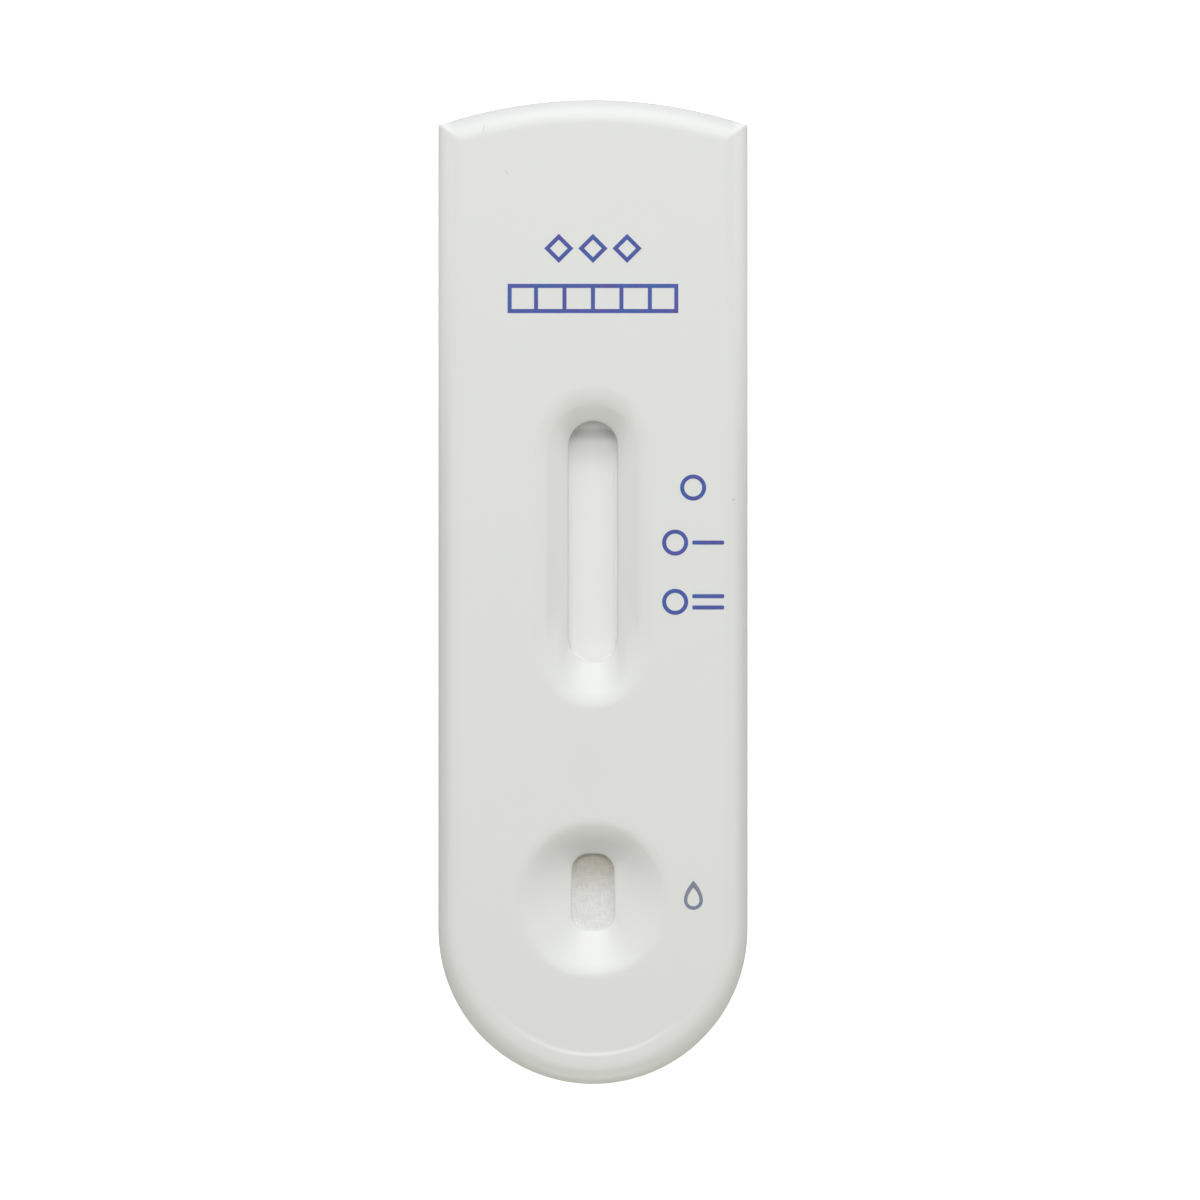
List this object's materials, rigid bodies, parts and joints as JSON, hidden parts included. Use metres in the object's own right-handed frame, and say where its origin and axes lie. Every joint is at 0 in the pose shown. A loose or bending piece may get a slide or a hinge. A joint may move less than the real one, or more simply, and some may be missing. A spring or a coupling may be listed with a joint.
{
  "type": "lateral flow cassette",
  "caption": "Slim white moulded test cassette with a sloped read window, a dished sample well and a laminated test strip inside.",
  "frame": {"origin": "centre of the footprint on the bottom face", "axes": "+Y along the body from the round well end to the nearly square end, +Z up out of the read window, +X to the right when seen from above with +Y up"},
  "size_m": [0.022, 0.07, 0.005],
  "materials": {
    "housing": "satin moulded white",
    "card": "thin smooth card",
    "membrane": "fine matte",
    "glass_fibre_pad": "fibrous",
    "sample_pad": "fibrous",
    "wick_pad": "soft fibrous"
  },
  "bodies": {
    "root": {"upper_shell": "housing", "lower_shell": "housing", "backing_card": "card", "membrane": "membrane", "conjugate_pad": "glass_fibre_pad", "sample_pad": "sample_pad", "absorbent_pad": "wick_pad"}
  },
  "joints": []
}
